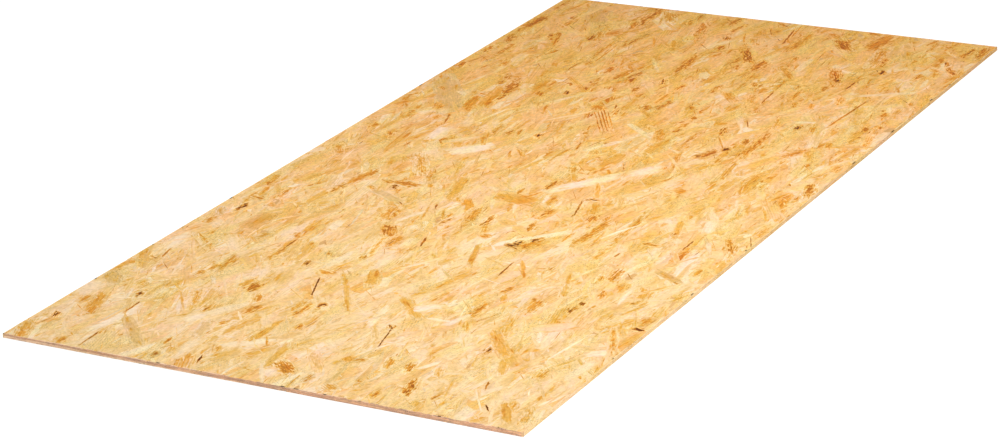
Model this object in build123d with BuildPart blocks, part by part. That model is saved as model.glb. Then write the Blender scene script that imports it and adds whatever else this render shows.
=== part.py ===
from build123d import *
import os

# Oriented strand board: one pressed sheet, sawn square on all four sides.
# Millimetres, +Z up. The sheet lies flat, and the origin is the middle of its underside.

# Driving dimensions
board_length = 2500.0  # along X, the way most of the face strands run
board_width = 1250.0  # along Y
board_thickness = 10.0  # along Z
arris_break = 0.5  # the sharp sawn arrises of both faces are taken off by this much

# The sheet: its plan, its thickness, and the broken arrises round both faces
with BuildPart() as osb_board:
    with BuildSketch(Plane.XY):
        Rectangle(board_length, board_width)
    extrude(amount=board_thickness)
    underside = osb_board.faces().sort_by(Axis.Z)[0]
    top_face = osb_board.faces().sort_by(Axis.Z)[-1]
    chamfer(underside.edges() + top_face.edges(), length=arris_break)

os.makedirs("parts", exist_ok=True)
osb_board.part.label = "osb_board"
export_step(osb_board.part, "parts/osb_board.step")
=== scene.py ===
import math

import bmesh
import bpy
import numpy as np
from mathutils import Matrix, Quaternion, Vector


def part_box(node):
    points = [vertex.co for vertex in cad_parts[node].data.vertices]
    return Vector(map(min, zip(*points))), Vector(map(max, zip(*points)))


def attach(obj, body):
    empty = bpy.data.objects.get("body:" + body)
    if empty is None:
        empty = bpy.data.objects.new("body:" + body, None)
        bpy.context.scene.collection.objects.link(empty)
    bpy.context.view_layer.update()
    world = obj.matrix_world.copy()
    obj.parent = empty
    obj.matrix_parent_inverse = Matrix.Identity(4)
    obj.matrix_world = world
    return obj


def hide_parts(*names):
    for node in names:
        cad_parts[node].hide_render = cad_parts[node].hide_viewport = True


# An oriented strand board lying flat: thousands of thin wood strands pressed into one sheet.
# Metres, in the frame's axes: X along the sheet, Y across it, Z up from the floor.
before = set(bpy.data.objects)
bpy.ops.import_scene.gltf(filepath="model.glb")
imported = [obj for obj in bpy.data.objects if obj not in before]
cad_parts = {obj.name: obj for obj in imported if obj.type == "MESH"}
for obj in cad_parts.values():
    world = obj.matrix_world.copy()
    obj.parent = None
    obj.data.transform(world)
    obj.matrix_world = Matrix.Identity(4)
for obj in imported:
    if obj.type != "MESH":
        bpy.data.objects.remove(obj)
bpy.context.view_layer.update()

mm = 0.001
sheet_low, sheet_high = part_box("osb_board")
sheet_length, sheet_width, sheet_thickness = sheet_high - sheet_low
half_length = sheet_length / 2
half_width = sheet_width / 2
half_thickness = sheet_thickness / 2

# How the strands lie in the sheet
face_relief = 0.7 * mm  # from the top of the highest strand of a face down to that of the lowest
edge_relief = 0.25 * mm  # the same on a sawn edge
strand_thickness = 0.6 * mm
strand_tilt = 0.25 * mm  # the most by which the two ends of a strand differ in height
strand_crown = 0.08 * mm  # a strand's borders lie this much lower than its middle
section_depth = 3.0 * mm  # how far a strand that shows on a sawn edge reaches into the sheet
core_sink = 0.8 * mm  # the core lies this far inside the faces
core_inset = 1.6 * mm  # and this far inside the sawn edges
arris = 0.3 * mm  # a face ends this far inside the edges, and an edge this far inside the faces
bake_margin = 1.0 * mm  # room round each strand on its bake map
grain_shift = 4.0  # strands take their grain from anywhere on this length of wood

# Tones of the wood, from bark to fresh sapwood: places on one ramp, with their screen colours
wood_tones = {
    "bark": (0.00, (104, 58, 10)),
    "brown": (0.12, (172, 108, 28)),
    "rust": (0.25, (204, 134, 44)),
    "orange": (0.38, (223, 158, 60)),
    "gold": (0.50, (233, 182, 90)),
    "tan": (0.60, (231, 190, 128)),
    "straw": (0.70, (242, 203, 145)),
    "cream": (0.80, (245, 211, 163)),
    "pale": (0.90, (247, 218, 180)),
    "white": (1.00, (251, 228, 194)),
}
faded_wood = (246, 214, 194)  # what sawn ends fade to
tone_spread = 0.065
tone_middle = 0.78  # the tone that the others are reckoned from
tone_reach = (0.75, 1.35)  # how far darker tones stand from it, at the near end and at the far end
pale_reach = (1.1, 0.6)  # the same for paler tones

# Families of strand shapes: how many shapes, faces along a strand, how far its ends taper, how
# ragged and how slanting they are, and how far it bows
shape_families = {
    "broad": (6, 4, 0.15, 0.06, 0.10, 0.06),
    "slim": (3, 3, 0.40, 0.08, 0.15, 0.12),
    "splinter": (3, 3, 0.80, 0.10, 0.10, 0.15),
    "crumb": (2, 2, 0.70, 0.15, 0.15, 0.10),
}

# Each kind of strand: how many on a face, its shapes, lengths and widths in millimetres, the spread
# of its directions in degrees, how high it may lie in the relief and the shares of its tones
strand_kinds = {
    "bed": (900, "broad", (150, 220), (40, 56), 8, (0.0, 0.1),
            {"cream": 40, "straw": 36, "tan": 14, "gold": 10}),
    "broad": (2200, "broad", (90, 200), (16, 50), 20, (0.1, 0.86),
              {"cream": 37, "straw": 26, "tan": 14, "pale": 15, "gold": 7, "orange": 1}),
    "narrow": (2300, "slim", (50, 160), (5, 15), 24, (0.2, 0.94),
               {"cream": 32, "straw": 26, "tan": 14, "pale": 18, "gold": 8, "orange": 2}),
    "splinter": (1000, "splinter", (16, 70), (3, 7), 30, (0.45, 0.9),
                 {"cream": 30, "straw": 30, "tan": 18, "pale": 14, "gold": 8}),
    "crumb": (2200, "crumb", (8, 30), (4, 9), 40, (0.4, 0.9),
              {"cream": 38, "pale": 18, "straw": 28, "tan": 14, "gold": 2}),
    "patch": (90, "slim", (30, 100), (12, 28), 20, (0.6, 0.92),
              {"gold": 70, "orange": 30}),
    "line": (800, "splinter", (20, 110), (1.6, 3), 26, (0.7, 0.94),
             {"gold": 26, "orange": 36, "rust": 26, "brown": 12}),
}
even_steps = (0.7548776662, 0.5698402910)  # steps along and across, as shares of the sheet, that fill it
place_spread = 15 * mm  # how far a strand may fall from its even place
strand_lean = 2.0  # the mean direction of the strands, in degrees from the length of the sheet
stray_share = 0.09  # the share of strands that lie any way
warm_start = 0.12  # the wood grows more golden from this share of the length to the far end, partly its own tone and partly painted light, the far end deeper as if less lit
warm_rise = 1.25
golden_painted_shade_lean = 0.30  # and more so on the left side than on the right, which is painted shade on the far left
warm_spread = 0.36  # how far broad strands differ in this, and narrower ones less
shade_spread = 0.06  # how far small strands differ in lightness alone
broad_from = 30 * mm  # a strand this wide or wider counts as broad
soft_borders = (0.3, 1.0)  # how far in from its border a strand may thin out, as a share of its half
darker_softness = 0.9  # a strand thins out further by this much for each step of tone below the mat
marked_borders = (0.3, 0.7)  # the same two for the marked strands
marked_softness = 0.25
marked_room = 1.25  # those without haze are laid this much wider than they look, since borders thin out
line_width = 6 * mm  # dark ones no wider than this are lines with crisp borders
dark_haze = 16 * mm  # wider dark ones are longer and wider by this much, and thin out over all of it
haze_softness = 1.35  # how much further in a strand that is all haze thins out
bark_depth = 0.15  # marks of bark lie this far below the ramp, to be dark to near their borders
most_ragged = 0.9  # borders that thin out further than this are no more ragged for it
ringed_share = 0.12  # the share of the other strands that show their growth rings as lines
deepest_share = 0.55  # no stain makes a strand darker than this share of its own tone

# Strands that stand out on the top face: x and y of the middle in millimetres from the middle of
# the sheet, direction in degrees, length and width in millimetres
marked_strands = {
    "tan": [
        (-905, 588, 40, 95, 34), (-1138, 368, 43, 178, 26), (-1060, 243, 18, 100, 26),
        (-490, 480, 0, 110, 50), (-252, 285, 62, 140, 25), (-445, -530, 60, 104, 18),
        (-745, -248, -5, 110, 26), (-392, 370, -62, 84, 8), (1150, 470, 20, 200, 60),
        (428, 520, 33, 330, 62),
    ],
    "gold": [
        (-690, 55, 28, 120, 34), (-1120, 20, 8, 140, 22), (-555, 340, 5, 240, 22),
        (-150, 160, 15, 215, 34), (150, -97, -8, 130, 44), (270, -150, -5, 140, 40),
        (110, -415, -8, 130, 30), (-890, -370, 38, 170, 28), (-1000, -440, 25, 84, 20),
        (-180, -428, 15, 110, 16), (-520, -220, 30, 120, 10), (-1080, -130, 40, 40, 28),
        (-955, 372, 38, 132, 6), (-1180, -550, 30, 110, 20), (430, 163, 5, 52, 18),
        (-155, 5, 80, 120, 50), (-1005, 208, -8, 160, 24), (-890, 455, 5, 40, 12), (-910, 409, 0, 80, 8),
        (-470, 381, 4, 48, 10), (-310, 437, -4, 110, 22), (-155, 228, 20, 30, 12), (-62, 188, 5, 36, 10),
        (90, 460, 5, 220, 22), (112, 310, 20, 50, 26), (300, 230, 2, 90, 12), (320, 294, 0, 70, 10),
        (440, 402, 5, 190, 38), (905, 603, 0, 34, 16), (985, 165, 20, 66, 14), (-235, 82, 35, 90, 24),
        (545, -92, 0, 46, 14), (470, -15, 45, 66, 14), (-600, -365, 20, 80, 20), (275, -318, 5, 60, 18),
        (425, -523, 0, 50, 18), (660, -370, 15, 44, 14), (-775, 70, 34, 262, 16),
        (-800, -105, 45, 150, 30), (575, 332, -5, 90, 24), (-490, -82, 20, 140, 14),
        (15, -60, 30, 66, 14), (-545, -345, 20, 80, 10), (985, 222, 27, 100, 8), (505, -497, 0, 40, 14),
        (-40, -150, 25, 120, 14),
    ],
    "pale": [
        (-1160, 215, 0, 120, 34), (-650, 85, -5, 90, 34), (-450, 300, 10, 70, 26), (-590, 85, 0, 90, 30),
        (160, 390, 5, 100, 38), (440, 487, 40, 60, 20), (980, 465, 60, 84, 40), (960, 75, 25, 56, 16),
        (650, 330, 80, 60, 36), (-1205, -15, 10, 44, 40), (-780, -440, -60, 110, 36),
        (-540, -440, 5, 64, 26), (680, -440, -50, 52, 15), (1000, -60, 25, 64, 15),
        (-1000, -250, 0, 60, 30), (-955, -315, -15, 110, 50), (-1220, -480, 0, 70, 30),
        (-960, -590, -10, 120, 24), (-700, 20, 10, 60, 24), (-955, 250, -35, 190, 36),
        (-1020, 290, -30, 60, 30), (150, 315, -45, 110, 20), (-275, 577, -30, 110, 16),
        (-480, 85, 5, 60, 30), (705, -556, 15, 50, 14), (705, -502, 10, 30, 24), (65, -512, 25, 70, 20),
        (-150, -490, 15, 90, 24), (-965, 605, 0, 100, 45), (205, -275, -20, 90, 40),
        (805, -505, -60, 210, 16),
    ],
    "white": [
        (-790, -145, -50, 90, 34), (-750, -175, -30, 56, 28), (-860, -590, -55, 70, 26),
        (-175, -580, -60, 45, 26), (549, -407, -70, 64, 16), (-8, -105, -36, 225, 38),
        (110, -200, -40, 95, 42), (-372, -145, -43, 225, 22), (93, 264, -45, 125, 46),
    ],
    "orange": [
        (-1205, 600, 25, 110, 30), (-925, 355, 24, 84, 16), (-705, 168, 75, 46, 22),
        (-250, 597, 7, 76, 26), (-170, 410, -9, 130, 24), (-98, 262, 28, 104, 16),
        (-345, 222, 7, 78, 38), (-278, 40, 10, 96, 30), (490, 392, 5, 240, 22), (1110, 148, 12, 160, 36),
        (-725, -135, -10, 90, 12), (-1070, -217, 14, 60, 14), (-1065, -330, 22, 50, 10),
        (-790, -580, 25, 140, 10), (-390, -170, -20, 70, 40), (-285, -265, -8, 190, 22),
        (345, -117, 17, 90, 20), (1060, -380, 8, 170, 36), (1185, -335, -8, 160, 44),
        (1130, -140, 0, 190, 26), (-700, -345, 2, 70, 30), (-540, -470, 0, 44, 20),
        (-877, 228, 22, 40, 22), (-1140, 152, 12, 26, 14), (-885, 122, -3, 60, 18),
        (-735, 403, 5, 100, 14), (-645, 330, 0, 84, 18), (-475, 600, 27, 48, 12), (-18, 565, 32, 76, 20),
        (-370, 338, 0, 32, 9), (10, 577, 22, 56, 20), (245, 272, 4, 70, 10), (530, 602, 27, 70, 12),
        (975, 383, 12, 90, 22), (1170, 207, 12, 46, 9), (-490, 122, 2, 64, 24), (470, 118, 60, 46, 24),
        (420, -138, -10, 70, 14), (752, 10, 0, 56, 10), (1085, -18, 27, 46, 12), (725, -188, 22, 60, 9),
        (-760, -248, 0, 100, 16), (-380, -340, 0, 90, 14), (720, -420, 17, 80, 12),
        (-680, -600, -10, 50, 22), (235, -322, 0, 44, 14), (-1225, 492, 2, 32, 22),
        (-903, 515, -3, 30, 10), (-682, 58, 12, 24, 16), (338, 495, 17, 56, 16),
        (-1215, -168, 60, 28, 20), (-850, -270, 25, 50, 7), (-207, -224, 2, 40, 20),
        (-135, -610, 0, 60, 14), (745, -145, 0, 70, 10), (523, -488, 0, 18, 14),
        (-565, 418, -20, 44, 14), (-575, 475, 0, 24, 10), (10, 452, 3, 56, 6), (265, 459, 0, 28, 13),
        (160, 268, 27, 64, 9), (240, 212, 12, 56, 11), (512, 301, 12, 30, 16), (590, 311, 0, 46, 12),
        (622, 209, 0, 44, 16), (465, 464, 2, 28, 11), (362, 606, 0, 30, 13), (960, 607, 2, 56, 14),
        (698, 505, 7, 50, 15), (1040, 509, 0, 70, 11), (660, 218, 2, 46, 13), (-345, -28, 17, 56, 9),
        (-305, 30, 22, 38, 13), (-212, 122, 32, 34, 14), (-605, -47, 0, 46, 9), (270, 45, 17, 76, 8),
        (450, 35, 2, 40, 9), (590, -3, 0, 100, 8), (58, -33, 17, 40, 17), (85, -96, -12, 86, 10),
        (378, -70, 22, 28, 9), (980, 0, 2, 54, 13), (800, -138, 2, 76, 8), (1190, -92, 8, 120, 5),
        (-1195, -600, 12, 40, 18), (-1150, -550, 17, 50, 12), (-1000, -525, 0, 34, 22),
        (-295, -452, 0, 44, 12), (115, -490, 0, 44, 12), (180, -487, -3, 64, 12), (65, -600, 0, 56, 10),
        (480, -597, 10, 96, 8), (885, -475, -10, 76, 7), (762, -590, 12, 34, 12), (985, -562, 2, 44, 16),
        (1058, -538, 0, 34, 16), (1195, -475, 7, 76, 7), (688, -200, 20, 170, 14),
        (-1178, -598, 22, 80, 10), (-28, 330, 32, 175, 28), (-250, -331, 4, 290, 8),
        (1005, 365, -45, 80, 40), (-520, 147, 13, 130, 9), (-1018, 577, -3, 50, 16),
        (1190, 280, 30, 100, 32), (-1068, 80, 32, 60, 5), (350, -275, 32, 110, 4), (850, 295, 3, 210, 5),
        (95, 470, 7, 180, 5),
    ],
    "rust": [
        (-795, 425, -15, 56, 28), (-765, 416, -10, 50, 22), (-905, 100, -3, 66, 14),
        (-320, 522, 4, 70, 14), (-165, 290, 85, 84, 30), (-435, 167, 27, 66, 34), (525, 395, 8, 110, 28),
        (565, 408, 0, 90, 16), (785, 558, 0, 124, 24), (1030, 598, -5, 116, 30), (840, 60, 2, 190, 18),
        (1215, 95, -5, 66, 20), (1000, 38, 0, 54, 18), (-1165, -25, 50, 70, 36), (-480, -427, 4, 76, 18),
        (270, -283, -20, 70, 24), (355, -362, 3, 230, 16), (135, -603, 15, 100, 24),
        (1128, -252, 38, 110, 32), (890, -335, 28, 120, 26), (903, -120, -4, 86, 26),
        (-935, 205, -20, 56, 24), (-255, 427, -10, 76, 16), (-130, 399, -12, 56, 22),
        (880, 592, 14, 60, 22), (785, 607, 2, 66, 16), (1180, 604, -3, 90, 11), (1095, 338, 17, 70, 18),
        (740, 225, 2, 66, 15), (1120, 152, 12, 100, 18), (690, 140, 12, 46, 20),
        (-215, -112, -12, 60, 24), (512, 4, 0, 46, 28), (340, -198, 0, 140, 7), (700, -96, 0, 76, 22),
        (-270, -600, 12, 90, 10), (1190, -607, 5, 110, 16), (-835, 271, -8, 46, 24),
        (-1020, 219, -25, 40, 16), (-980, 56, 2, 28, 9), (-525, 590, -5, 38, 15),
        (-372, 562, 70, 40, 14), (-217, 350, 50, 34, 8), (-170, 335, 75, 40, 8), (-592, 139, -3, 36, 13),
        (125, 508, 22, 28, 14), (470, 562, 7, 26, 15), (515, 422, 7, 36, 8), (518, 155, -8, 44, 13),
        (-1190, -103, 0, 44, 10), (-640, -250, -25, 44, 13), (-995, -522, 0, 36, 12),
        (-386, -48, 60, 22, 15), (-215, -110, -10, 46, 9), (-505, -279, 0, 34, 8),
        (378, -328, -3, 44, 18), (560, -555, 17, 34, 12), (282, -602, 0, 36, 12), (702, -94, 3, 40, 14),
        (795, -345, 0, 46, 11), (665, -560, -12, 36, 11), (-1147, 275, 0, 34, 12),
        (-1213, 258, 0, 30, 9), (-660, 501, 0, 30, 8), (-1078, -153, -60, 30, 9),
        (-1205, -268, -3, 36, 10), (-535, 350, 2, 30, 9), (-606, 220, 22, 22, 11),
        (-345, 213, 12, 40, 9), (160, 574, 0, 26, 13), (233, 232, -15, 28, 13), (586, 213, 22, 28, 13),
        (555, 439, 2, 30, 9), (603, 446, 17, 40, 8), (872, 587, 22, 40, 10), (650, 608, 12, 46, 11),
        (770, 303, -10, 30, 13), (1212, 199, 2, 36, 9), (0, -83, -20, 34, 9), (298, 62, 22, 32, 12),
        (625, 92, 0, 44, 16), (395, -140, -5, 44, 14), (485, -140, 0, 28, 11), (1068, -31, 27, 32, 13),
        (870, -70, 7, 34, 8), (762, -172, 12, 36, 14), (985, -183, 12, 34, 11), (-583, -448, 12, 44, 10),
        (-505, -403, 12, 44, 8), (-298, -415, 80, 40, 10), (-225, -440, 7, 40, 8),
        (-50, -468, -30, 38, 10), (-600, -537, -20, 38, 9), (280, -469, -3, 36, 9),
        (580, -583, 22, 28, 9), (780, -281, 7, 36, 9), (1015, -553, 60, 32, 12), (1098, -535, 0, 46, 14),
        (1238, -290, 60, 34, 16), (633, -474, -4, 275, 6), (-207, -223, 2, 40, 18),
        (405, 50, 33, 190, 4), (400, 57, 33, 190, 4), (396, 63, 33, 190, 4), (392, 70, 33, 190, 4),
        (387, 77, 33, 190, 4),
    ],
    "brown": [
        (-740, 565, 12, 66, 6), (-772, 577, 80, 40, 6), (-1195, 437, 3, 92, 5), (-1030, 452, 2, 76, 5),
        (-965, 297, 0, 56, 10), (-265, 147, 22, 48, 6), (-340, 78, -15, 50, 9), (470, 381, 2, 90, 9),
        (458, 60, 10, 56, 10), (955, 394, 4, 54, 12), (960, 275, -10, 124, 10), (722, 145, -18, 62, 14),
        (1165, 62, -12, 84, 10), (-1067, -262, 12, 50, 16), (-1150, -315, 14, 84, 13),
        (-1178, -385, -25, 56, 9), (-1085, -452, 17, 46, 6), (-300, -10, 7, 66, 9),
        (-45, -36, -5, 60, 10), (-160, -163, 15, 110, 6), (-535, -188, 4, 90, 5), (-270, -494, 0, 70, 6),
        (-245, -585, 28, 100, 8), (425, -245, 10, 66, 8), (540, -28, -10, 66, 11),
        (1055, -570, 32, 140, 12), (1175, -576, -4, 90, 14), (690, -242, 5, 120, 6),
        (1150, -90, 10, 160, 6), (955, -528, -5, 50, 10), (-590, 333, 2, 66, 6), (-320, 523, 4, 54, 7),
        (-255, 424, -10, 50, 8), (-270, 245, 50, 66, 5), (780, 560, 0, 76, 10), (940, 505, -5, 50, 11),
        (-505, 127, -3, 56, 5), (-465, 62, 14, 66, 6), (490, 78, 17, 46, 6), (680, -6, -3, 50, 7),
        (-380, -375, 0, 44, 6), (840, -399, 0, 74, 6), (1035, -405, 7, 74, 14), (492, -278, 27, 50, 4),
    ],
    "bark": [
        (-1118, 583, 15, 26, 9), (-962, 481, 0, 26, 13), (-1198, 158, 12, 46, 6),
        (-775, 147, 22, 122, 4), (-863, 77, -25, 24, 15), (-670, 236, 10, 26, 7),
        (-432, 566, -8, 52, 12), (-190, 303, 5, 28, 10), (235, 157, 10, 26, 11), (542, 243, 5, 24, 10),
        (1078, 56, 10, 28, 10), (705, 54, 15, 36, 9), (-970, -142, 14, 150, 4), (-935, -371, 0, 26, 8),
        (-685, -427, 0, 40, 11), (-648, -433, 0, 16, 7), (-1178, -506, 35, 36, 5),
        (-725, -604, 80, 28, 10), (-403, -142, -12, 56, 27), (-369, -162, -60, 42, 20),
        (-416, -130, 75, 30, 9), (312, -308, -12, 30, 11), (510, -404, 10, 24, 8),
        (957, -432, 0, 28, 11), (246, -270, -40, 20, 15), (-100, -168, 80, 22, 9),
        (860, -352, 0, 24, 12), (-905, -122, 30, 22, 8),
    ],
}
marked_lift = (0.95, 1.0)  # the marked strands lie on top of all others
marked_short = 60 * mm  # those shorter than this have slim shapes
dull_shade = -0.07  # the tan ones are darker by this share
dull_warmth = -0.05  # and less golden by this much

# Layers of strands that show on a sawn edge
layer_pitch = 0.6 * mm
layer_stray = 0.2  # how far a section strays from its layer, as a share of the pitch
section_steps = (0.86, 1.0)  # how far on the next section starts, as a share of the last one's length
section_widths = (0.8, 1.5)  # how thick sections are, as shares of the pitch
face_layer_share = 0.3  # the share of the thickness that each face layer takes
cut_across = (12, 40)  # lengths of the sections of strands that the saw crossed, in millimetres
cut_along = (60, 160)  # and of those that run along the edge
end_tones = {"white": 60, "pale": 34, "tan": 6}
# the long sides are painted pale, so that they show as bright as the top face though less light reaches
# them
side_tones_painted_light = {"white": 56, "pale": 44}
# the dark band on the end edges is partly a darker core layer and partly painted shade towards the floor
dark_layer_and_painted_shade_tones = {"brown": 44, "rust": 18, "bark": 30, "tan": 8}
dark_band_high = 0.78  # the dark band of an end edge, partly a darker core layer and partly painted shade, starts this high, as a share of the thickness, comes down by this much along the edge, the painted shade reaching to the floor, and is this wide to each side, at its start and at its end
dark_band_fall = 0.45  # comes down by this much along the edge
dark_band_half = (0.12, 0.68)  # and is this wide to each side, at its start and at its end

# Noises of the grain: pitch along and across the strand in millimetres, seed and detail
grains = {
    "bands": (140, 14, 3.0, 2.0),
    "streaks": (26, 3.6, 7.0, 3.0),
    "fibres": (12, 1.4, 11.0, 1.0),
    "fray": (18, 3.0, 17.0, 2.0),
    "blots": (14, 7.0, 19.0, 2.0),
    "slit_shade_noise": (36, 3.6, 23.0, 2.0),
    "hue": (60, 22, 29.0, 1.0),
    "stains": (55, 17, 31.0, 2.0),
    "border_shade_noise": (40, 12, 41.0, 1.0),
}
patch_scale = (8.0, 22.0, 0.0)  # patches of the mat, in each metre along and across the sheet
field_scale = (7.0, 16.0, 0.0)  # and fields of pink and of yellow wood
mottle_scale = 150.0
pore_scale = 330.0
mat_low = 0.61  # the darkest tone of the mat between the strands
mat_rise = 0.30  # and how much higher its palest lies
golden_tint = (0.975, 0.775, 0.44, 1.0)
red_tint = (1.0, 0.84, 0.70, 1.0)
pink_tint = (1.0, 0.955, 1.07, 1.0)
yellow_tint = (0.98, 1.0, 0.72, 1.0)
mean_roughness = 0.62
wood_relief = 0.2 * mm
core_relief = 0.3 * mm
# the inside of the sheet is coloured darker than the strands, as painted shade in the gaps where it
# shows
core_colours_painted_shade = ((190, 138, 80), (236, 190, 124))

# The studio: where each lamp stands, where it points, the side of its square and its power in watts
lamps = {
    "key_lamp": ((-0.28, -0.60, 2.3), (-0.28, -0.1, 0.0), 1.6, 38.0),
    "fill_lamp": ((-3.65, -2.65, 0.6), (-0.85, -0.25, 0.0), 1.0, 70.0),
}
sky_strength = 0.50  # of the even light all round
white = (1.0, 1.0, 1.0, 1.0)
floor_half = 30.0
floor_grey = (0.8, 0.8, 0.8, 1.0)  # the floor as it takes the light
floor_shade = (0.5, 0.5, 0.5, 1.0)  # the floor as the camera sees it, with a glow that lifts it to white
floor_glow = 0.75

# Where the random draws start
seeds = {"shapes": 11, "top": 23, "under": 37, "edges": 50}

# The camera, as it stood for the photograph
camera_spot = Vector((-5.882, -3.341, 2.523))
camera_aim = Vector((-0.284, -0.030, sheet_thickness))
camera_roll = math.radians(-3.29)
camera_lens = 111.7
sensor_width = 36.0

strand_row = np.dtype([
    ("x", float), ("y", float), ("turn", float), ("length", float), ("width", float),
    ("lift", float), ("tilt", float), ("tone", float), ("warmth", float), ("shade", float),
    ("shift", float), ("soft", float), ("rings", float), ("pattern", int),
])


def as_seen(colour):
    """The linear colour that shows as these 0 to 255 screen values."""
    shares = [c / 255 for c in colour]
    return tuple(c / 12.92 if c <= 0.04045 else ((c + 0.055) / 1.055) ** 2.4 for c in shares)


# Strand shapes

def flake_pattern(rng, steps, taper, ragged, slant, bow):
    """A strand one unit long, wide and thick, with its upper face at height 0."""
    bm = bmesh.new()
    middle = bm.verts.layers.float.new("middle")
    bmesh.ops.create_grid(bm, x_segments=steps, y_segments=2, size=0.5)
    ends = {1: rng.uniform(-slant, slant), -1: rng.uniform(-slant, slant), 0: 0.0}
    bow *= rng.uniform(-1, 1)
    for v in bm.verts:
        along = 2 * v.co.x
        v.co.x += 2 * v.co.y * ends[round(along)]
        rim = v.is_boundary
        v[middle] = 0.0 if rim else 1.0
        v.co.y *= 1 - taper * abs(along) ** 3
        v.co.y += bow * along ** 2 + rng.uniform(-ragged, ragged) * rim
        v.co.x -= math.copysign(rng.uniform(0, ragged), along) * abs(along) ** 8
    grown = bmesh.ops.extrude_face_region(bm, geom=bm.faces[:], use_keep_orig=True)["geom"]
    low_verts = [g for g in grown if isinstance(g, bmesh.types.BMVert)]
    low_faces = [g for g in grown if isinstance(g, bmesh.types.BMFace)]
    bmesh.ops.translate(bm, vec=(0, 0, -1), verts=low_verts)
    bmesh.ops.dissolve_faces(bm, faces=low_faces, use_verts=True)
    bmesh.ops.recalc_face_normals(bm, faces=bm.faces[:])
    bm.verts.index_update()
    points = np.array([v.co for v in bm.verts])
    low, high = points[:, :2].min(0), points[:, :2].max(0)
    points[:, :2] = (points[:, :2] - low) / (high - low) - 0.5
    faces = sorted(bm.faces, key=lambda f: f.calc_center_median().z)
    pattern = {
        "points": points,
        "middle": np.array([v[middle] for v in bm.verts]),
        "corners": np.array([v.index for f in faces for v in f.verts]),
        "counts": np.array([len(f.verts) for f in faces]),
    }
    bm.free()
    return pattern


def flake_patterns(rng):
    """All the strand shapes, family by family."""
    families = shape_families.values()
    return [flake_pattern(rng, *shape) for count, *shape in families for _ in range(count)]


def drawn_patterns(rng, family, count):
    """Numbers of shapes from this family."""
    names = list(shape_families)
    first = sum(shape_families[n][0] for n in names[:names.index(family)])
    return rng.integers(first, first + shape_families[family][0], count)


# Laying the strands

def drawn_tones(rng, shares, count):
    """Tones drawn by their shares, each a little off its place on the ramp."""
    names = list(shares)
    odds = np.array([shares[n] for n in names], float)
    drawn = rng.choice([wood_tones[n][0] for n in names], count, p=odds / odds.sum())
    return np.clip(drawn + rng.normal(0, tone_spread, count), 0, 1)


def drawn_softness(rng, tones, limits, darker):
    """How softly strands thin out: within limits, and the darker ones more so."""
    return rng.uniform(*limits, len(tones)) + darker * np.maximum(tone_middle - tones, 0)


def golden_tone_and_painted_light(x, y):
    """How golden the wood is at this place on the sheet: partly its own tone, partly painted light that
    falls off to the far end and the far left.
    """
    along = x / sheet_length + 0.5
    return warm_rise * (along - warm_start) + golden_painted_shade_lean * along * y / sheet_width


def with_colour(rng, strands):
    """Broad strands differ in how golden they are, small ones in lightness."""
    breadth = np.minimum(strands["width"] / broad_from, 1)
    spread = rng.normal(0, 1, (2, len(strands)))
    strands["warmth"] = golden_tone_and_painted_light(strands["x"], strands["y"]) + spread[0] * warm_spread * breadth
    strands["shade"] = spread[1] * shade_spread * (1 - breadth)
    return strands


def evenly_spread(rng, count):
    """Places all over the sheet with no bare spots: even steps, a little shaken."""
    steps = np.arange(count)
    along = (rng.uniform() + steps * even_steps[0]) % 1 - 0.5
    across = (rng.uniform() + steps * even_steps[1]) % 1 - 0.5
    shaken = rng.normal(0, place_spread, (2, count))
    return along * sheet_length + shaken[0], across * sheet_width + shaken[1]


def scattered_strands(rng):
    """The mat of strands of one face, each kind in its own number and sizes."""
    laid = []
    for count, family, lengths, widths, spread, lifts, shares in strand_kinds.values():
        s = np.zeros(count, strand_row)
        s["x"], s["y"] = evenly_spread(rng, count)
        s["turn"] = np.radians(rng.normal(strand_lean, spread, count))
        stray = rng.uniform(0, 1, count) < stray_share
        s["turn"][stray] = rng.uniform(-math.pi / 2, math.pi / 2, stray.sum())
        s["length"] = rng.uniform(*lengths, count) * mm
        s["width"] = rng.uniform(*widths, count) * mm
        s["lift"] = rng.uniform(*lifts, count)
        s["tone"] = drawn_tones(rng, shares, count)
        ends = (-half_length, half_length)
        darker, paler = (np.interp(s["x"], ends, reach) for reach in (tone_reach, pale_reach))
        off = s["tone"] - tone_middle
        s["tone"] = np.clip(tone_middle + off * np.where(off < 0, darker, paler), 0, 1)
        s["pattern"] = drawn_patterns(rng, family, count)
        s["soft"] = drawn_softness(rng, s["tone"], soft_borders, darker_softness)
        laid.append(with_colour(rng, s))
    return np.concatenate(laid)


def standing_out(rng):
    """The marked strands, laid one on the other in the order of the list."""
    rows = [(tone, row) for tone, several in marked_strands.items() for row in several]
    s = np.zeros(len(rows), strand_row)
    s["lift"] = np.linspace(*marked_lift, len(rows))
    for i, (tone, (x, y, turn, run, across)) in enumerate(rows):
        s[i]["x"], s[i]["y"], s[i]["turn"] = x * mm, y * mm, math.radians(turn)
        s[i]["length"], s[i]["width"] = run * mm, across * mm
        s[i]["tone"] = wood_tones[tone][0]
    s["pattern"] = drawn_patterns(rng, "broad", len(rows))
    small = s["length"] < marked_short
    s["pattern"][small] = drawn_patterns(rng, "slim", small.sum())
    s["soft"] = drawn_softness(rng, s["tone"], marked_borders, marked_softness)
    s = with_colour(rng, s)
    dark = (s["tone"] < wood_tones["gold"][0]) & (s["width"] > line_width)
    s["soft"][dark] += haze_softness * dark_haze / (s["width"][dark] + dark_haze)
    s["tone"][s["tone"] == wood_tones["bark"][0]] -= bark_depth
    s["length"][dark] += dark_haze
    s["width"] = np.where(dark, s["width"] + dark_haze, s["width"] * marked_room)
    dull = s["tone"] == wood_tones["tan"][0]
    s["shade"][dull] += dull_shade
    s["warmth"][dull] += dull_warmth
    return s


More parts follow.
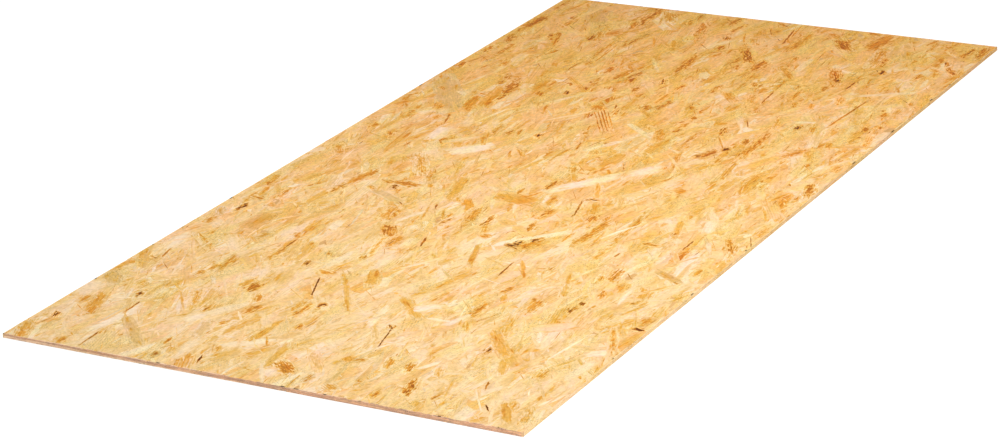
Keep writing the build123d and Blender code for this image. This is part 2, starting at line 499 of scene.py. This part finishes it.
def with_chance(rng, strands, tilt):
    """What differs from strand to strand whatever its kind: its tilt and its own stretch of grain."""
    strands["tilt"] = rng.uniform(-tilt, tilt, len(strands))
    strands["shift"] = rng.uniform(0, grain_shift, len(strands))
    ringed = rng.uniform(0, 1, len(strands)) < ringed_share
    strands["rings"] = ringed & (strands["lift"] < marked_lift[0])
    return strands


def edge_layers(rng, lay, faces_across):
    """The strand sections of a sawn edge, layer on layer from the underside to the top."""
    half_run = lay["halves"][0]
    rows = []
    layers = round(sheet_thickness / layer_pitch)
    for layer in range(layers):
        height = (layer + 0.5) / layers
        in_face = min(height, 1 - height) < face_layer_share
        reach = cut_across if in_face == faces_across else cut_along
        x = -half_run - rng.uniform(0, reach[0]) * mm
        while x < half_run:
            run = rng.uniform(*reach) * mm
            rows.append((x + run / 2, (height - 0.5) * sheet_thickness, run))
            x += run * rng.uniform(*section_steps)
    s = np.zeros(len(rows), strand_row)
    s["x"], s["y"], s["length"] = np.array(rows).T
    s["y"] += rng.normal(0, layer_stray * layer_pitch, len(s))
    s["turn"] = rng.normal(0, layer_pitch, len(s)) / s["length"]
    s["width"] = layer_pitch * rng.uniform(*section_widths, len(s))
    s["lift"] = rng.uniform(0, 1, len(s))
    s["tone"] = drawn_tones(rng, end_tones if faces_across else side_tones_painted_light, len(s))
    origin, along = lay["origin"], lay["axes"][0]
    s["warmth"] = golden_tone_and_painted_light(origin.x + along.x * s["x"], origin.y + along.y * s["x"])
    if faces_across:
        # a dark band, partly the darker core layer and partly painted shade that comes down to the floor
        # along the edge
        run = s["x"] / half_run / 2 + 0.5
        height = s["y"] / sheet_thickness + 0.5
        half = dark_band_half[0] + run * (dark_band_half[1] - dark_band_half[0])
        dark = abs(height - dark_band_high + dark_band_fall * run) < half
        s["tone"][dark] = drawn_tones(rng, dark_layer_and_painted_shade_tones, dark.sum())
    s["pattern"] = drawn_patterns(rng, "broad", len(s))
    return with_chance(rng, s, 0)


# Making one mesh of many strands

def bake_places(lengths, widths):
    """Where each strand lies on a square map, in rows of like width, and the side of the map."""
    order = np.argsort(-widths)
    side = math.sqrt((lengths * widths).sum())
    while True:
        side *= 1.01
        places = np.zeros((len(lengths), 2))
        u = v = row = 0.0
        for i in order:
            if u + lengths[i] > side:
                u, v, row = 0.0, v + row, 0.0
            places[i] = u, v
            row = max(row, widths[i])
            u += lengths[i]
        if v + row <= side:
            return places, side


def trimmed(bm, origin, sides):
    """Saws the strands off flush along each side of the sheet and closes the cuts."""
    for axis, half in sides:
        for way in (1, -1):
            cut = bmesh.ops.bisect_plane(
                bm, geom=bm.verts[:] + bm.edges[:] + bm.faces[:],
                plane_co=origin + way * half * axis, plane_no=way * axis, clear_outer=True,
            )["geom_cut"]
            rims = [e for e in cut if isinstance(e, bmesh.types.BMEdge) and e.is_boundary]
            bmesh.ops.holes_fill(bm, edges=rims, sides=0)


# What the wood pattern reads of each strand
told_by_strand = ("tone", "warmth", "shade", "soft", "rings")


def strand_piece(name, strands, patterns, lay, material):
    """One mesh of all these strands, laid on the side of the sheet that lay describes."""
    places, map_side = bake_places(
        strands["length"] + 2 * bake_margin, strands["width"] + 2 * bake_margin)
    values = {n: [] for n in (*told_by_strand, "along", "across", "middle", "bake_u", "bake_v")}
    points, corners, counts = [], [], []
    made = 0
    for number, pattern in enumerate(patterns):
        mine = np.flatnonzero(strands["pattern"] == number)
        s = strands[mine][:, None]
        unit = pattern["points"]
        middle = pattern["middle"]
        x = unit[:, 0] * s["length"]
        y = unit[:, 1] * s["width"]
        top = -lay["relief"] * (1 - s["lift"]) - abs(s["tilt"]) / 2
        z = top + s["tilt"] * unit[:, 0] + unit[:, 2] * lay["depth"] - strand_crown * (1 - middle)
        across = s["x"] + x * np.cos(s["turn"]) - y * np.sin(s["turn"])
        up = s["y"] + x * np.sin(s["turn"]) + y * np.cos(s["turn"])
        points.append(sum(
            part[..., None] * np.array(axis) for part, axis in zip((across, up, z), lay["axes"])
        ).reshape(-1, 3) + np.array(lay["origin"]))
        outward = -unit[:, 2] * bake_margin / 2
        spot = places[mine][:, None] + bake_margin
        values["bake_u"].append(spot[..., 0] + x + s["length"] / 2 + np.sign(x) * outward)
        values["bake_v"].append(spot[..., 1] + y + s["width"] / 2 + np.sign(y) * outward)
        values["along"].append(x + s["shift"])
        values["across"].append(y + s["shift"])
        values["middle"].append(middle + 0 * x)
        for n in told_by_strand:
            values[n].append(s[n] + 0 * x)
        starts = made + len(unit) * np.arange(len(mine))
        corners.append((starts[:, None] + pattern["corners"]).ravel())
        counts.append(np.tile(pattern["counts"], len(mine)))
        made += len(unit) * len(mine)
    corners, counts = np.concatenate(corners), np.concatenate(counts)
    mesh = bpy.data.meshes.new(name)
    mesh.vertices.add(made)
    mesh.loops.add(len(corners))
    mesh.polygons.add(len(counts))
    mesh.vertices.foreach_set("co", np.concatenate(points).ravel())
    mesh.loops.foreach_set("vertex_index", corners)
    mesh.polygons.foreach_set("loop_start", np.cumsum(counts) - counts)
    mesh.update(calc_edges=True)
    for n, parts in values.items():
        held = mesh.attributes.new(n, "FLOAT", "POINT")
        held.data.foreach_set("value", np.concatenate([p.ravel() for p in parts]))
    bm = bmesh.new()
    bm.from_mesh(mesh)
    trimmed(bm, Vector(lay["origin"]), zip(lay["axes"][:2], lay["halves"]))
    bm.to_mesh(mesh)
    bm.free()
    bake_map(mesh, map_side)
    mesh.shade_flat()
    mesh.materials.append(material)
    piece = bpy.data.objects.new(name, mesh)
    bpy.context.scene.collection.objects.link(piece)
    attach(piece, "root")
    return piece


def bake_map(mesh, map_side):
    """Turns each point's place among the strands laid side by side into a map of the faces."""
    spots = np.zeros((len(mesh.vertices), 2), np.float32)
    for column, n in enumerate(("bake_u", "bake_v")):
        one = np.zeros(len(mesh.vertices), np.float32)
        mesh.attributes[n].data.foreach_get("value", one)
        spots[:, column] = one / map_side
        mesh.attributes.remove(mesh.attributes[n])
    at = np.zeros(len(mesh.loops), np.int32)
    mesh.loops.foreach_get("vertex_index", at)
    mesh.uv_layers.new(name="OFBake").uv.foreach_set("vector", spots[at].ravel())


# Materials

def put(tree, kind, settings=(), **inputs):
    """A node with its settings and inputs; an input is a value or the output that feeds it."""
    made = tree.nodes.new("ShaderNode" + kind)
    for name, value in dict(settings).items():
        setattr(made, name, value)
    for name, value in inputs.items():
        feed(tree, made.inputs[name.replace("_", " ")], value)
    return made


def feed(tree, socket, value):
    """Sets a socket to a value, or links it to the output that feeds it."""
    if isinstance(value, bpy.types.NodeSocket):
        tree.links.new(value, socket)
    else:
        socket.default_value = value


def maths(tree, operation, first, second=0.0):
    """The outcome of one operation on two values."""
    made = put(tree, "Math", {"operation": operation})
    feed(tree, made.inputs[0], first)
    feed(tree, made.inputs[1], second)
    return made.outputs[0]


def summed(tree, *parts):
    """The sum of several values, each times its own strength."""
    first, *others = (maths(tree, "MULTIPLY", value, strength) for value, strength in parts)
    for other in others:
        first = maths(tree, "ADD", first, other)
    return first


def mixed(tree, way, share, first, second):
    """Two colours mixed in this way, with this share of the second."""
    made = put(tree, "Mix", {"data_type": "RGBA", "blend_type": way, "clamp_factor": True})
    for number, value in ((0, share), (6, first), (7, second)):
        feed(tree, made.inputs[number], value)
    return made.outputs[2]


def spread_out(tree, value, low, high, new_low, new_high):
    """A smooth step from new_low to new_high while the value goes from low to high."""
    made = put(tree, "MapRange", {"interpolation_type": "SMOOTHSTEP"}, Value=value)
    for number, limit in enumerate((low, high, new_low, new_high), 1):
        feed(tree, made.inputs[number], limit)
    return made.outputs[0]


def tone_ramp(tree, place):
    """The ramp of wood colours, from bark to white."""
    made = put(tree, "ValToRGB", Fac=place)
    stops = made.color_ramp.elements
    while len(stops) < len(wood_tones):
        stops.new(1.0)
    for stop, (at, colour) in zip(stops, wood_tones.values()):
        stop.position = at
        stop.color = (*as_seen(colour), 1.0)
    return made.outputs["Color"]


def grain(tree, along, across, pitch_along, pitch_across, seed, detail):
    """Noise drawn out along the strand: pitches are lengths in millimetres."""
    place = put(tree, "CombineXYZ", X=maths(tree, "DIVIDE", along, pitch_along * mm),
                Y=maths(tree, "DIVIDE", across, pitch_across * mm), Z=seed)
    made = put(tree, "TexNoise", Vector=place.outputs[0], Scale=1.0, Detail=detail, Roughness=0.6)
    return maths(tree, "SUBTRACT", made.outputs[0], 0.5)


def strand_wood():
    """Wood along each strand: its own tone, which thins out at the borders, and its grain."""
    tree = bpy.data.node_groups.new("strand_wood", "ShaderNodeTree")
    for name, kind in (("Tint", "NodeSocketColor"), ("Grain", "NodeSocketFloat"),
                       ("Feather", "NodeSocketFloat"), ("Fading", "NodeSocketFloat")):
        tree.interface.new_socket(name, in_out="INPUT", socket_type=kind)
    for name, kind in (("Color", "NodeSocketColor"), ("Roughness", "NodeSocketFloat"),
                       ("Height", "NodeSocketFloat")):
        tree.interface.new_socket(name, in_out="OUTPUT", socket_type=kind)
    given = tree.nodes.new("NodeGroupInput")
    out = tree.nodes.new("NodeGroupOutput")
    tone, warmth, shade, soft, rings, along, across, middle = (
        put(tree, "Attribute", {"attribute_name": n}).outputs["Fac"]
        for n in (*told_by_strand, "along", "across", "middle"))
    bands, streaks, fibres, fray, blots, slit_shade_noise, hue, stains, border_shade_noise = (
        grain(tree, along, across, *noise) for noise in grains.values())
    # the strand thins out towards its border, where the pale mat shows through
    place = put(tree, "TexCoord").outputs["Object"]
    drawn = put(tree, "Mapping", Vector=place, Scale=patch_scale).outputs[0]
    patches = put(tree, "TexNoise", Vector=drawn, Scale=1.0, Detail=2.0).outputs[0]
    mat = maths(tree, "ADD", maths(tree, "MULTIPLY", patches, mat_rise), mat_low)
    thin = maths(tree, "MULTIPLY", soft, given.outputs["Feather"])
    ragged = summed(tree, (fray, 2.5), (blots, 3.0))
    ragged = maths(tree, "MULTIPLY", ragged, maths(tree, "MINIMUM", thin, most_ragged))
    ragged = maths(tree, "ADD", middle, ragged)
    cover = spread_out(tree, ragged, 0.0, maths(tree, "ADD", thin, 0.02), 0.0, 1.0)
    shown = maths(tree, "ADD", mat, maths(tree, "MULTIPLY", maths(tree, "SUBTRACT", tone, mat), cover))
    # growth rings run as lines along some strands
    turns = summed(tree, (across, 1000.0), (bands, 9.0))
    lines = spread_out(tree, maths(tree, "SINE", turns), 0.2, 1.0, 0.0, 0.14)
    turned = summed(tree, (bands, 0.24), (streaks, 0.10))
    turned = maths(tree, "MULTIPLY", turned, spread_out(tree, tone, 0.3, 0.8, 1.6, 1.0))
    streaky = spread_out(tree, tone, 0.1, 0.7, 0.9, 0.0)
    turned = maths(tree, "ADD", turned, maths(tree, "MULTIPLY", streaks, streaky))
    turned = maths(tree, "SUBTRACT", turned, maths(tree, "MULTIPLY", lines, rings))
    clouds = maths(tree, "SUBTRACT", patches, 0.5)
    turned = maths(tree, "ADD", turned, maths(tree, "MULTIPLY", clouds, 0.32))
    # golden stains, with short dark slits of painted shadow in the deepest of them, where gaps between
    # strands would be
    stained = maths(tree, "ADD", stains, maths(tree, "MULTIPLY", clouds, -0.4))
    turned = maths(tree, "SUBTRACT", turned, spread_out(tree, stained, 0.06, 0.28, 0.0, 0.24))
    painted_slit_shade = maths(tree, "ADD", slit_shade_noise, maths(tree, "MULTIPLY", stained, 0.5))
    turned = maths(tree, "SUBTRACT", turned, spread_out(tree, painted_slit_shade, 0.15, 0.32, 0.0, 0.4))
    # painted shadow along some stretches of a strand's border, as if falling into the gap beside it
    rim = spread_out(tree, middle, 0.0, 0.14, 1.0, 0.0)
    painted_border_shade = maths(tree, "MULTIPLY", rim, spread_out(tree, border_shade_noise, 0.10, 0.22, 0.0, 0.4))
    turned = maths(tree, "SUBTRACT", turned, painted_border_shade)
    # contrast and tint grow with the warmth, which is partly the wood's own and partly painted light
    # along the sheet, but the whitest strands stay white
    contrast = maths(tree, "ADD", maths(tree, "MULTIPLY", warmth, 0.18), given.outputs["Grain"])
    turned = maths(tree, "ADD", shown, maths(tree, "MULTIPLY", turned, contrast))
    deepest = maths(tree, "MULTIPLY", tone, deepest_share)
    colour = tone_ramp(tree, maths(tree, "MAXIMUM", turned, deepest))
    golden = maths(tree, "MULTIPLY", warmth, spread_out(tree, tone, 0.86, 1.0, 1.0, 0.35))
    colour = mixed(tree, "MULTIPLY", golden, colour, golden_tint)
    # some of the dark wood is redder than the rest
    dark = spread_out(tree, shown, 0.3, 0.65, 1.0, 0.0)
    red = maths(tree, "MULTIPLY", spread_out(tree, hue, -0.05, 0.13, 0.0, 1.0), dark)
    colour = mixed(tree, "MULTIPLY", red, colour, red_tint)
    # fields of pink and of yellow wood that reach over several strands
    drawn = put(tree, "Mapping", Vector=place, Scale=field_scale).outputs[0]
    fields = put(tree, "TexNoise", Vector=drawn, Scale=1.0, Detail=1.0).outputs[0]
    blush = maths(tree, "ADD", maths(tree, "MULTIPLY", hue, 0.7), maths(tree, "SUBTRACT", fields, 0.5))
    blush = maths(tree, "MULTIPLY", blush, maths(tree, "ADD", warmth, 1.0))
    blush = spread_out(tree, blush, -0.45, 0.45, 0.0, 1.0)
    blush = mixed(tree, "MIX", blush, pink_tint, yellow_tint)
    colour = mixed(tree, "MULTIPLY", 1.0, colour, blush)
    colour = mixed(tree, "MULTIPLY", 1.0, colour, given.outputs["Tint"])
    colour = mixed(tree, "MIX", given.outputs["Fading"], colour, (*as_seen(faded_wood), 1.0))
    # lightness alone: fibres, streaks, small mottles, and pores that stand in clusters
    mottles = put(tree, "TexNoise", Vector=place, Scale=mottle_scale, Detail=1.0).outputs[0]
    pores = put(tree, "TexNoise", Vector=place, Scale=pore_scale, Detail=0.0).outputs[0]
    clusters = spread_out(tree, fields, 0.46, 0.70, 0.0, 0.30)
    pitted = maths(tree, "MULTIPLY", spread_out(tree, pores, 0.56, 0.72, 0.0, 1.0), clusters)
    mottled = maths(tree, "SUBTRACT", mottles, 0.5)
    fine = summed(tree, (fibres, 0.24), (streaks, 0.36), (mottled, 0.40))
    fine = maths(tree, "SUBTRACT", fine, pitted)
    fine = maths(tree, "ADD", maths(tree, "MULTIPLY", fine, contrast), maths(tree, "ADD", shade, 1.0))
    tree.links.new(put(tree, "VectorMath", {"operation": "SCALE"}, Vector=colour, Scale=fine).outputs[0],
                   out.inputs["Color"])
    rough = maths(tree, "ADD", maths(tree, "MULTIPLY", streaks, 0.25), mean_roughness)
    tree.links.new(rough, out.inputs["Roughness"])
    raised = maths(tree, "ADD", maths(tree, "MULTIPLY", fibres, 0.4), streaks)
    tree.links.new(raised, out.inputs["Height"])
    return tree


def wood_material(name, group, tint, grain_strength, feather, fading):
    """A wood made of the shared strand pattern with its own tint and strengths."""
    made = bpy.data.materials.new(name)
    made.use_nodes = True
    tree = made.node_tree
    shader = tree.nodes["Principled BSDF"]
    wood = tree.nodes.new("ShaderNodeGroup")
    wood.node_tree = group
    wood.inputs["Tint"].default_value = (*as_seen(tint), 1.0)
    wood.inputs["Grain"].default_value = grain_strength
    wood.inputs["Feather"].default_value = feather
    wood.inputs["Fading"].default_value = fading
    raised = put(tree, "Bump", Strength=0.5, Distance=wood_relief, Height=wood.outputs["Height"])
    tree.links.new(wood.outputs["Color"], shader.inputs["Base Color"])
    tree.links.new(wood.outputs["Roughness"], shader.inputs["Roughness"])
    tree.links.new(raised.outputs[0], shader.inputs["Normal"])
    shader.inputs["Specular IOR Level"].default_value = 0.08
    return made


def core_material():
    """The inside of the sheet, seen only down the gaps between strands, coloured darker as painted shade
    in those gaps.
    """
    made = bpy.data.materials.new("core_wood")
    made.use_nodes = True
    tree = made.node_tree
    shader = tree.nodes["Principled BSDF"]
    place = put(tree, "TexCoord").outputs["Object"]
    drawn = put(tree, "Mapping", Vector=place, Scale=(12.0, 140.0, 600.0)).outputs[0]
    speckle = put(tree, "TexNoise", Vector=drawn, Scale=1.0, Detail=3.0).outputs[0]
    dark, light = ((*as_seen(c), 1.0) for c in core_colours_painted_shade)
    colour = mixed(tree, "MIX", speckle, dark, light)
    tree.links.new(colour, shader.inputs["Base Color"])
    tree.links.new(spread_out(tree, speckle, 0.2, 0.8, 0.7, 0.95), shader.inputs["Roughness"])
    raised = put(tree, "Bump", Strength=0.5, Distance=core_relief, Height=speckle)
    tree.links.new(raised.outputs[0], shader.inputs["Normal"])
    shader.inputs["Specular IOR Level"].default_value = 0.2
    return made


# The sheet

def board_core(material):
    """The pressed body of the sheet, a little inside its faces and edges."""
    bm = bmesh.new()
    bmesh.ops.create_cube(bm, size=1.0)
    size = Vector((sheet_length - 2 * core_inset, sheet_width - 2 * core_inset,
                   sheet_thickness - 2 * core_sink))
    bmesh.ops.scale(bm, vec=size, verts=bm.verts[:])
    bmesh.ops.translate(bm, vec=(sheet_low + sheet_high) / 2, verts=bm.verts[:])
    bmesh.ops.bevel(bm, geom=bm.edges[:], offset=core_sink / 2, segments=2, profile=0.5,
                    affect="EDGES", material=-1)
    mesh = bpy.data.meshes.new("board_core")
    bm.to_mesh(mesh)
    bm.free()
    mesh.materials.append(material)
    piece = bpy.data.objects.new("board_core", mesh)
    bpy.context.scene.collection.objects.link(piece)
    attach(piece, "root")
    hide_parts("osb_board")
    return piece


east, north, upward = Vector((1, 0, 0)), Vector((0, 1, 0)), Vector((0, 0, 1))


def face_lay(axes, height):
    """How a strand face of the sheet lies: its own axes, with the last one pointing out of the wood."""
    return {"axes": axes, "origin": upward * height, "relief": face_relief, "depth": strand_thickness,
            "halves": (half_length - arris, half_width - arris)}


def edge_lay(along, out, reach, half_run):
    """How a sawn edge lies: along it, up, and out of the wood."""
    return {"axes": (along, upward, out), "origin": out * reach + upward * half_thickness,
            "relief": edge_relief, "depth": section_depth,
            "halves": (half_run, half_thickness - arris)}


top_lay = face_lay((east, north, upward), sheet_thickness)
under_lay = face_lay((east, -north, -upward), 0.0)
edge_lays = {
    "near_end": (edge_lay(-north, -east, half_length, half_width), True),
    "far_end": (edge_lay(north, east, half_length, half_width), True),
    "right_side": (edge_lay(east, -north, half_width, half_length), False),
    "left_side": (edge_lay(-east, north, half_width, half_length), False),
}
top_pieces = 6
under_pieces = 3


def strand_face(name, rng, strands, patterns, lay, material, pieces):
    """A face of the sheet, from its lowest strands to its highest, in several pieces."""
    strands = with_chance(rng, strands, strand_tilt)
    order = np.argsort(strands["lift"])
    for number, part in enumerate(np.array_split(order, pieces), 1):
        strand_piece(f"{name}_{number}", strands[part], patterns, lay, material)


def whole_sheet():
    """Core, both strand faces and the four sawn edges."""
    patterns = flake_patterns(np.random.default_rng(seeds["shapes"]))
    group = strand_wood()
    face_wood = wood_material(
        "face_strand_wood", group, tint=(255, 255, 255), grain_strength=1.0, feather=0.9, fading=0.0)
    end_wood = wood_material(
        "sawn_end_wood", group, tint=(255, 244, 236), grain_strength=1.0, feather=0.0, fading=0.4)
    side_wood = wood_material(
        "sawn_side_wood", group, tint=(255, 250, 238), grain_strength=0.6, feather=0.0, fading=0.0)
    board_core(core_material())
    rng = np.random.default_rng(seeds["top"])
    top = np.concatenate([scattered_strands(rng), standing_out(rng)])
    strand_face("top_strands", rng, top, patterns, top_lay, face_wood, top_pieces)
    rng = np.random.default_rng(seeds["under"])
    under = scattered_strands(rng)
    strand_face("under_strands", rng, under, patterns, under_lay, face_wood, under_pieces)
    for number, (name, (lay, faces_across)) in enumerate(edge_lays.items()):
        rng = np.random.default_rng(seeds["edges"] + number)
        sections = edge_layers(rng, lay, faces_across)
        strand_piece(f"{name}_edge", sections, patterns, lay, end_wood if faces_across else side_wood)


# Studio

def plainly_seen(tree):
    """1 for what the camera sees, straight or in a reflection or through glass, and 0 for the light."""
    path = put(tree, "LightPath").outputs
    shown = maths(tree, "MAXIMUM", path["Is Camera Ray"], path["Is Glossy Ray"])
    return maths(tree, "MAXIMUM", shown, path["Is Transmission Ray"])


def white_floor():
    """A white floor that keeps the sheet's shadow: the camera sees it lifted to white."""
    bm = bmesh.new()
    bmesh.ops.create_grid(bm, x_segments=1, y_segments=1, size=floor_half)
    mesh = bpy.data.meshes.new("floor")
    bm.to_mesh(mesh)
    bm.free()
    made = bpy.data.materials.new("white_floor")
    made.use_nodes = True
    tree = made.node_tree
    tree.nodes.remove(tree.nodes["Principled BSDF"])
    matt = put(tree, "BsdfDiffuse", Color=floor_shade)
    glow = put(tree, "Emission", Color=white, Strength=floor_glow)
    lifted = tree.nodes.new("ShaderNodeAddShader")
    tree.links.new(matt.outputs[0], lifted.inputs[0])
    tree.links.new(glow.outputs[0], lifted.inputs[1])
    plain = put(tree, "BsdfDiffuse", Color=floor_grey)
    either = put(tree, "MixShader", Fac=plainly_seen(tree))
    tree.links.new(plain.outputs[0], either.inputs[1])
    tree.links.new(lifted.outputs[0], either.inputs[2])
    tree.links.new(either.outputs[0], tree.nodes["Material Output"].inputs["Surface"])
    mesh.materials.append(made)
    floor = bpy.data.objects.new("floor", mesh)
    bpy.context.scene.collection.objects.link(floor)


def soft_lamp(name, spot, aim, size, power):
    """A square studio softbox."""
    lamp = bpy.data.lights.new(name, "AREA")
    lamp.size = size
    lamp.energy = power
    held = bpy.data.objects.new(name, lamp)
    held.location = spot
    held.rotation_mode = "QUATERNION"
    held.rotation_quaternion = (Vector(aim) - Vector(spot)).to_track_quat("-Z", "Y")
    held.visible_camera = False
    bpy.context.scene.collection.objects.link(held)


def studio():
    """Even white light all round, a large lamp above the sheet and one low by its near right corner."""
    world = bpy.data.worlds.new("studio")
    bpy.context.scene.world = world
    world.use_nodes = True
    tree = world.node_tree
    back = tree.nodes["Background"]
    sky = spread_out(tree, plainly_seen(tree), 0.0, 1.0, sky_strength, 1.0)
    tree.links.new(sky, back.inputs["Strength"])
    back.inputs["Color"].default_value = white
    for name, values in lamps.items():
        soft_lamp(name, *values)
    white_floor()
    bpy.context.scene.view_settings.view_transform = "Standard"


def photo_camera():
    """The camera at the photograph's place."""
    held = bpy.data.objects.new("camera", bpy.data.cameras.new("camera"))
    held.data.lens = camera_lens
    held.data.sensor_width = sensor_width
    held.location = camera_spot
    held.rotation_mode = "QUATERNION"
    aimed = (camera_aim - camera_spot).to_track_quat("-Z", "Y")
    held.rotation_quaternion = aimed @ Quaternion((0.0, 0.0, 1.0), camera_roll)
    bpy.context.scene.collection.objects.link(held)
    bpy.context.scene.camera = held


whole_sheet()
studio()
photo_camera()
